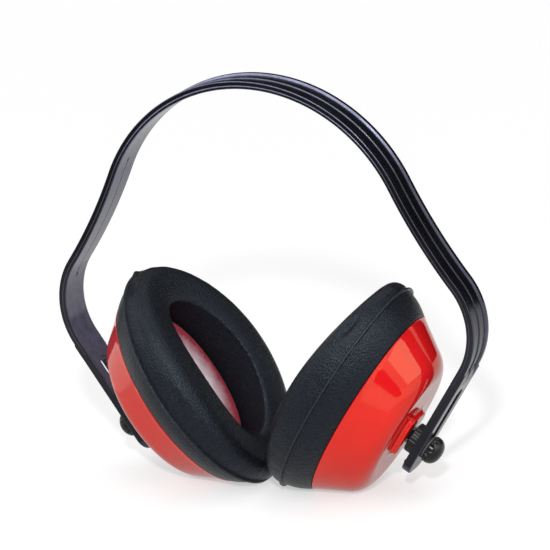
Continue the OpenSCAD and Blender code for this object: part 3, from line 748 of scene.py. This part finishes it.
def edge_wear_and_highlight(obj, least=0.15, most=0.97, high=145, low=125, faint=0.18, front=0.6, painted_sheen=0.3):
    """A number on each face of the strip for a paler colour: painted highlights along the rounded edges, with
    some rubbing. 1 where it is part of a rounded edge, known by how much its normal leans front or back, less
    toward the front and fading from the crown down the legs, as the painted highlights do. Faces that look
    toward the head get a weak painted sheen, and others 0."""
    count = len(obj.data.polygons) * 3
    normals, centres = np.empty(count, np.float32), np.empty(count, np.float32)
    obj.data.polygons.foreach_get("normal", normals)
    obj.data.polygons.foreach_get("center", centres)
    normals, centres = normals.reshape(-1, 3), centres.reshape(-1, 3) / MM
    lean = np.abs(normals[:, 1])
    edge = (lean > least) & (lean < most)
    # Painted highlights: brighter on the crown than down the legs, and on the back edges than the front.
    fade = faint + (1 - faint) * np.clip((centres[:, 2] - low) / (high - low), 0, 1)
    strong = np.where(centres[:, 1] > 0, 1, front)
    # Painted sheen on faces that look toward the head.
    to_head = np.array([0, 0, HEAD_AT]) - centres * np.array([1, 0, 1])
    toward = np.einsum("ij,ij->i", normals, to_head) / np.linalg.norm(to_head, axis=1)
    worn_and_lit = obj.data.attributes.new(WEAR_AND_HIGHLIGHT, "FLOAT", "FACE")
    worn_and_lit.data.foreach_set("value", np.where(edge, fade * strong, painted_sheen * (toward > 0.7)).astype(np.float32))


def paint_red_bounce(obj, side, start=0.25, span=0.72):
    """A number on each point of a liner: 0 in the middle of the oval, rising to 1 over a span of its reach
    toward the edge of the opening. It sets where red bounce light and shade from the shell are painted."""
    points = np.empty(len(obj.data.vertices) * 3, np.float32)
    obj.data.vertices.foreach_get("co", points)
    from_stud = points.reshape(-1, 3) / MM * np.array([side, 1, 1]) - STUD_POINT
    reach = np.hypot(from_stud @ UP_ARM / HOLE_A, from_stud[:, 1] / HOLE_B)
    red_bounce = obj.data.attributes.new(RED_BOUNCE, "FLOAT", "POINT")
    red_bounce.data.foreach_set("value", np.clip((reach - start) / span, 0, 1).astype(np.float32))


# Finishes


def finish(name, **values):
    """A new material and its shader, with constant values set on the shader's own sockets."""
    made = bpy.data.materials.new(name)
    made.use_nodes = True
    shader = made.node_tree.nodes["Principled BSDF"]
    for socket, value in values.items():
        shader.inputs[socket.replace("_", " ")].default_value = value
    return made, shader


def texture(made, kind, scale, **values):
    """A procedural texture on Object coordinates, at a scale per metre."""
    tree = made.node_tree
    place = tree.nodes.get("Texture Coordinate") or tree.nodes.new("ShaderNodeTexCoord")
    node = tree.nodes.new(kind)
    tree.links.new(place.outputs["Object"], node.inputs["Vector"])
    if scale is not None:
        node.inputs["Scale"].default_value = scale
    for socket, value in values.items():
        node.inputs[socket].default_value = value
    return node


def between(made, source, low, high, start=0.35, end=0.65):
    """A colour that goes from low to high as the source goes from start to end."""
    ramp = made.node_tree.nodes.new("ShaderNodeValToRGB")
    ramp.color_ramp.elements[0].position = start
    ramp.color_ramp.elements[1].position = end
    ramp.color_ramp.elements[0].color = (*low, 1)
    ramp.color_ramp.elements[1].color = (*high, 1)
    made.node_tree.links.new(source, ramp.inputs["Fac"])
    return ramp.outputs["Color"]


def ranged(made, source, low, high, top=1.0):
    """A number that goes from low to high as the source goes from 0 to top, and stays there."""
    span = made.node_tree.nodes.new("ShaderNodeMapRange")
    span.inputs["From Max"].default_value = top
    span.inputs["To Min"].default_value = low
    span.inputs["To Max"].default_value = high
    made.node_tree.links.new(source, span.inputs["Value"])
    return span.outputs["Result"]


def bumped(made, source, shader, strength, depth, under=None):
    """Relief from a height on the shader's normal, over an earlier relief if there is one."""
    bump = made.node_tree.nodes.new("ShaderNodeBump")
    bump.inputs["Strength"].default_value = strength
    bump.inputs["Distance"].default_value = depth
    made.node_tree.links.new(source, bump.inputs["Height"])
    if under is not None:
        made.node_tree.links.new(under.outputs["Normal"], bump.inputs["Normal"])
    made.node_tree.links.new(bump.outputs["Normal"], shader.inputs["Normal"])
    return bump


def wear_and_highlight_over(made, colour, patchy, worn_and_lit):
    """A paler colour, partly rubbing and partly painted highlight, over another where marked, in patches."""
    link = made.node_tree.links.new
    edge = made.node_tree.nodes.new("ShaderNodeAttribute")
    edge.attribute_name = WEAR_AND_HIGHLIGHT
    patches = made.node_tree.nodes.new("ShaderNodeMath")
    patches.operation = "MULTIPLY"
    link(edge.outputs["Fac"], patches.inputs[0])
    link(ranged(made, patchy, 0.2, 1.2), patches.inputs[1])
    mixed = made.node_tree.nodes.new("ShaderNodeMix")
    mixed.data_type = "RGBA"
    mixed.inputs["B"].default_value = (*worn_and_lit, 1)
    link(patches.outputs["Value"], mixed.inputs["Factor"])
    link(colour, mixed.inputs["A"])
    return mixed.outputs["Result"]


def moulded(name, dark, light, rough, grain=2600, relief=0.08, worn_and_lit=None, **values):
    """Moulded plastic: slow drift between two near colours, uneven gloss and a fine surface texture. A paler
    colour, partly rubbed and partly painted highlight, shows in patches along the marked edges."""
    made, shader = finish(name, **values)
    link = made.node_tree.links.new
    drift = texture(made, NOISE, 55, Detail=3)
    gloss = texture(made, NOISE, 260, Detail=5, Roughness=0.65)
    skin_grain = texture(made, NOISE, grain, Detail=4)
    colour = between(made, drift.outputs["Fac"], dark, light)
    if worn_and_lit is not None:
        colour = wear_and_highlight_over(made, colour, gloss.outputs["Fac"], worn_and_lit)
    link(colour, shader.inputs["Base Color"])
    link(ranged(made, gloss.outputs["Fac"], rough * 0.7, rough * 1.3), shader.inputs["Roughness"])
    bumped(made, skin_grain.outputs["Fac"], shader, relief, 0.0001)
    return made


def vinyl(name):
    """Soft black vinyl: leather grain of fine cells, speckled tone, uneven gloss and a paler seam, partly
    rubbed and partly painted highlight.
    """
    made, shader = finish(name, Specular_IOR_Level=0.28, Specular_Tint=(0.7, 0.82, 1, 1))
    link = made.node_tree.links.new
    speckle = texture(made, NOISE, 1000, Detail=6, Roughness=0.75)
    cells = texture(made, CELLS, 1200)
    grain = texture(made, NOISE, 2400, Detail=4, Roughness=0.6)
    colour = between(made, speckle.outputs["Fac"], (0.002, 0.0022, 0.003), (0.011, 0.013, 0.018))
    # The paler seam colour: partly rubbing, partly a painted highlight on the flange's edge.
    colour = wear_and_highlight_over(made, colour, speckle.outputs["Fac"], (0.024, 0.025, 0.029))
    link(colour, shader.inputs["Base Color"])
    link(ranged(made, grain.outputs["Fac"], 0.28, 0.5), shader.inputs["Roughness"])
    first = bumped(made, cells.outputs["Distance"], shader, 0.7, 0.0003)
    bumped(made, grain.outputs["Fac"], shader, 0.5, 0.0003, first)
    return made


def foam(name, edge, dark, light):
    """Open foam: pale mottled colour with small pores, with red bounce light and shade from the shell painted
    toward the edge.
    """
    made, shader = finish(name, Roughness=0.95)
    link = made.node_tree.links.new
    mottle = texture(made, NOISE, 700, Detail=6, Roughness=0.7)
    pores = texture(made, CELLS, 1100)
    red_bounce = made.node_tree.nodes.new("ShaderNodeAttribute")
    red_bounce.attribute_name = RED_BOUNCE
    patchy = made.node_tree.nodes.new("ShaderNodeMath")
    patchy.operation = "MULTIPLY_ADD"
    patchy.inputs[1].default_value = 0.5
    link(mottle.outputs["Fac"], patchy.inputs[0])
    link(red_bounce.outputs["Fac"], patchy.inputs[2])
    mixed = made.node_tree.nodes.new("ShaderNodeMix")
    mixed.data_type = "RGBA"
    mixed.inputs["B"].default_value = (*edge, 1)
    link(between(made, patchy.outputs["Value"], (0, 0, 0), (1, 1, 1), 0.35, 1.25), mixed.inputs["Factor"])
    link(between(made, mottle.outputs["Fac"], dark, light, 0.3, 0.7), mixed.inputs["A"])
    link(mixed.outputs["Result"], shader.inputs["Base Color"])
    bumped(made, pores.outputs["Distance"], shader, 0.5, 0.0003)
    return made


def metal(name):
    """Bright rolled steel with fine streaks."""
    made, shader = finish(name, Metallic=1.0)
    link = made.node_tree.links.new
    streak = texture(made, NOISE, 900, Detail=4)
    colour = between(made, streak.outputs["Fac"], (0.45, 0.46, 0.48), (0.62, 0.63, 0.65))
    link(colour, shader.inputs["Base Color"])
    link(ranged(made, streak.outputs["Fac"], 0.22, 0.45), shader.inputs["Roughness"])
    return made


# The band's paler edge colour is painted highlight and painted sheen, with some rubbing.
BAND_FINISH = moulded("band_plastic", (0.004, 0.004, 0.005), (0.007, 0.007, 0.009), 0.22,
                      worn_and_lit=(0.4, 0.415, 0.62), Specular_IOR_Level=0.36, Specular_Tint=(0.8, 0.84, 1, 1),
                      Sheen_Weight=0.04, Sheen_Roughness=0.3, Sheen_Tint=(0.62, 0.64, 1, 1))
SLIDE_FINISH = moulded("slide_plastic", (0.006, 0.006, 0.007), (0.010, 0.010, 0.011), 0.36,
                       Specular_IOR_Level=0.3)
KNOB_FINISH = moulded("knob_plastic", (0.005, 0.005, 0.006), (0.009, 0.009, 0.010), 0.3,
                      Specular_IOR_Level=0.35)
STUD_FINISH = moulded("stud_plastic", (0.02, 0.02, 0.022), (0.03, 0.03, 0.033), 0.4)
WASHER_FINISH = moulded("washer_fibre", (0.05, 0.05, 0.053), (0.09, 0.09, 0.095), 0.8, 3500, 0.4)
SEAL_FINISH = moulded("seal_rubber", (0.02, 0.02, 0.02), (0.035, 0.035, 0.035), 0.75)
PLATE_FINISH = moulded("plate_plastic", (0.012, 0.012, 0.014), (0.02, 0.02, 0.022), 0.45)
SHELL_FINISH = moulded("shell_plastic", (0.68, 0.008, 0.011), (0.74, 0.012, 0.015), 0.07, 600, 0.02,
                       Specular_IOR_Level=0.65, Specular_Tint=(1, 0.82, 0.45, 1))
VINYL_FINISH = vinyl("cushion_vinyl")
# The liner's first colour is the painted red bounce light and shade toward the opening's edge.
LINER_FINISH = foam("liner_foam", (0.36, 0.03, 0.05), (0.66, 0.50, 0.57), (0.97, 0.91, 0.96))
NUT_FINISH = metal("nut_steel")

# Inner solids that stay as they are and get a finish
INNER_FINISHES = {"friction_washer": WASHER_FINISH, "ball_stud": STUD_FINISH, "push_nut": NUT_FINISH,
                  "seal_washer": SEAL_FINISH, "cushion_plate": PLATE_FINISH}

# Pieces

arms = [made for k in SIDES.values() for made in (arm_skin(k), stop_skin(k))]
band = piece("headband_strip", [strip_skin(), *arms])
edge_wear_and_highlight(band)
dress(band, "headband", BAND_FINISH, "band_plastic", "headband")

for name, k in SIDES.items():
    collar = piece(f"{name}_slide_collar", slide_block_skins(k), 30)
    dress(collar, f"{name}_slider", SLIDE_FINISH, "slide_plastic", f"{name}_slide_block")
    knob = piece(f"{name}_thumb_nut", [knob_skin(k)], 50)
    dress(knob, f"{name}_knob", KNOB_FINISH, "knob_plastic", f"{name}_knob")
    shell = piece(f"{name}_shell", [shell_skin(k)], 35)
    dress(shell, f"{name}_cup", SHELL_FINISH, "shell_plastic", f"{name}_cup_shell")
    liner = piece(f"{name}_liner", [liner_skin(k)], 60)
    paint_red_bounce(liner, k)
    dress(liner, f"{name}_cup", LINER_FINISH, "liner_foam", f"{name}_foam_liner")
    rings = cushion_cover(k)
    cover = piece(f"{name}_cushion", [skin(placed(k, rings), along_closed=True)], 60)
    seam_wear_and_highlight(cover, rings)
    dress(cover, f"{name}_cup", VINYL_FINISH, "cushion_vinyl",
          f"{name}_cushion_front", f"{name}_cushion_back", f"{name}_cushion_foam")
    for node, material in INNER_FINISHES.items():
        solid = frame["nodes"][f"{name}_{node}"]
        solid.data.materials.clear()
        solid.data.materials.append(material)

# Floor, light and camera


def seen_directly(tree):
    """1 for what the camera sees, straight, by reflection or through glass, and 0 for other light."""
    path = tree.nodes.new("ShaderNodeLightPath")
    seen = path.outputs["Is Camera Ray"]
    for kind in ("Is Glossy Ray", "Is Transmission Ray"):
        either = tree.nodes.new("ShaderNodeMath")
        either.operation = "MAXIMUM"
        tree.links.new(seen, either.inputs[0])
        tree.links.new(path.outputs[kind], either.inputs[1])
        seen = either.outputs["Value"]
    return seen


def pale_floor(reach=6.0):
    """A large pale floor, lifted to white where it is seen, a little more further from the object and less
    where the object hangs close over it, which paints a contact shadow there."""
    mesh = bpy.data.meshes.new("floor")
    corners = [(-reach, -reach, 0), (reach, -reach, 0), (reach, reach, 0), (-reach, reach, 0)]
    mesh.from_pydata(corners, [], [(0, 1, 2, 3)])
    floor = bpy.data.objects.new("floor", mesh)
    bpy.context.scene.collection.objects.link(floor)
    made, shader = finish("floor_paper", Base_Color=(0.42, 0.42, 0.42, 1), Roughness=0.9)
    tree = made.node_tree
    near = texture(made, "ShaderNodeTexGradient", None)
    near.gradient_type = "SPHERICAL"
    # Painted contact shadow: ambient occlusion cuts the lift where the object is close above the floor.
    contact_shadow = tree.nodes.new("ShaderNodeAmbientOcclusion")
    contact_shadow.inputs["Distance"].default_value = 0.025
    lift = ranged(made, near.outputs["Fac"], low=0.765, high=0.675, top=0.7)
    for factor in (ranged(made, contact_shadow.outputs["AO"], low=0.68, high=1.0), seen_directly(tree)):
        share = tree.nodes.new("ShaderNodeMath")
        share.operation = "MULTIPLY"
        tree.links.new(lift, share.inputs[0])
        tree.links.new(factor, share.inputs[1])
        lift = share.outputs["Value"]
    shader.inputs["Emission Color"].default_value = (1, 1, 1, 1)
    tree.links.new(lift, shader.inputs["Emission Strength"])
    floor.data.materials.append(made)


def surround():
    """White to the camera, to reflections and through glass; a soft grey light on everything else."""
    world = bpy.data.worlds.new("studio")
    bpy.context.scene.world = world
    world.use_nodes = True
    tree = world.node_tree
    light = tree.nodes["Background"]
    light.inputs["Color"].default_value = (1, 1, 1, 1)
    strength = tree.nodes.new("ShaderNodeMapRange")
    strength.inputs["To Min"].default_value = 0.26
    strength.inputs["To Max"].default_value = 1.0
    tree.links.new(seen_directly(tree), strength.inputs["Value"])
    tree.links.new(strength.outputs["Result"], light.inputs["Strength"])


def facing(at, toward):
    """The placement at a point whose third axis looks back from another point, with its first axis level."""
    back = np.array(at, float) - np.array(toward, float)
    back = back / np.linalg.norm(back)
    right = np.cross([0, 0, 1], back)
    right = right / np.linalg.norm(right)
    turned = np.eye(4)
    turned[:3, :4] = np.stack([right, np.cross(back, right), back, at], axis=-1)
    return turned


def softbox(name, at, toward, width, height, watts, mirrored=True):
    """A rectangular soft light at a point, facing another, that shows in reflections or not."""
    lamp = bpy.data.lights.new(name, "AREA")
    lamp.shape = "RECTANGLE"
    lamp.size = width
    lamp.size_y = height
    lamp.energy = watts
    obj = bpy.data.objects.new(name, lamp)
    bpy.context.scene.collection.objects.link(obj)
    obj.matrix_world = Matrix(facing(at, toward).tolist())
    obj.visible_glossy = mirrored


def reflector(name, at, toward, width, height, glow):
    """A card that only reflections see: black where glow is 0, and a bright panel above that."""
    turned = facing(at, toward)
    corners = np.array([(-1, -1), (1, -1), (1, 1), (-1, 1)]) * np.array([width, height]) / 2
    mesh = bpy.data.meshes.new(name)
    mesh.from_pydata(turned[:3, 3] + corners @ turned[:3, :2].T, [], [(0, 1, 2, 3)])
    card = bpy.data.objects.new(name, mesh)
    bpy.context.scene.collection.objects.link(card)
    made, _ = finish(name, Base_Color=(0, 0, 0, 1), Roughness=1.0, Specular_IOR_Level=0.0,
                     Emission_Color=(1, 1, 1, 1), Emission_Strength=glow)
    card.data.materials.append(made)
    card.visible_camera = card.visible_diffuse = card.visible_shadow = card.visible_transmission = False


def camera(azimuth, elevation, roll, distance, target, lens):
    """The viewing angle: round the target by azimuth and elevation in degrees, rolled about the line of
    sight, at a distance in millimetres."""
    az, el, ro = np.radians([azimuth, elevation, roll])
    back = np.array([math.sin(az) * math.cos(el), -math.cos(az) * math.cos(el), math.sin(el)])
    level = np.array([math.cos(az), math.sin(az), 0])
    over = np.cross(back, level)
    right = math.cos(ro) * level + math.sin(ro) * over
    up = math.cos(ro) * over - math.sin(ro) * level
    seen = bpy.data.cameras.new("view")
    seen.lens = lens
    seen.sensor_width = 36
    seen.sensor_fit = "HORIZONTAL"
    obj = bpy.data.objects.new("view", seen)
    bpy.context.scene.collection.objects.link(obj)
    place = np.eye(4)
    place[:3, :4] = np.stack([right, up, back, (np.array(target) + distance * back) * MM], axis=-1)
    obj.matrix_world = Matrix(place.tolist())
    bpy.context.scene.camera = obj


MIDDLE = (0, 0, 0.06)

pale_floor()
surround()
softbox("key", (0.56, -1.18, 0.89), MIDDLE, 0.09, 0.09, 14.4)
softbox("left", (-0.75, -0.8, 1.1), MIDDLE, 0.9, 0.7, 4)
softbox("right", (1.15, -0.3, 0.9), MIDDLE, 0.7, 0.9, 2)
softbox("top", (0.1, 0.5, 1.3), MIDDLE, 1.0, 0.6, 2.5)
softbox("bounce", (0.3, -0.75, 0.1), (0, 0, 0.03), 0.8, 0.15, 1.9, mirrored=False)
reflector("dim_floor", (0.01, -0.045, 0.0006), (0.01, -0.044, 1), 0.34, 0.14, 0.68)
reflector("dark_back", (0, 1.2, 0.6), (0, 0, 0.6), 3.0, 1.24, 0.0)
reflector("dark_front", (-0.12, -0.24, 0.06), (-0.12, 0, 0.06), 1.0, 0.12, 0.0)
reflector("bright_side", (1.2, -0.1, 0.36), (0, 0, 0.3), 0.9, 0.5, 2.6)
camera(azimuth=27.633, elevation=16.921, roll=-4.78, distance=1260.1, target=(15.24, -21.0, 91.57),
       lens=217.65)
bpy.context.scene.view_settings.view_transform = "Standard"
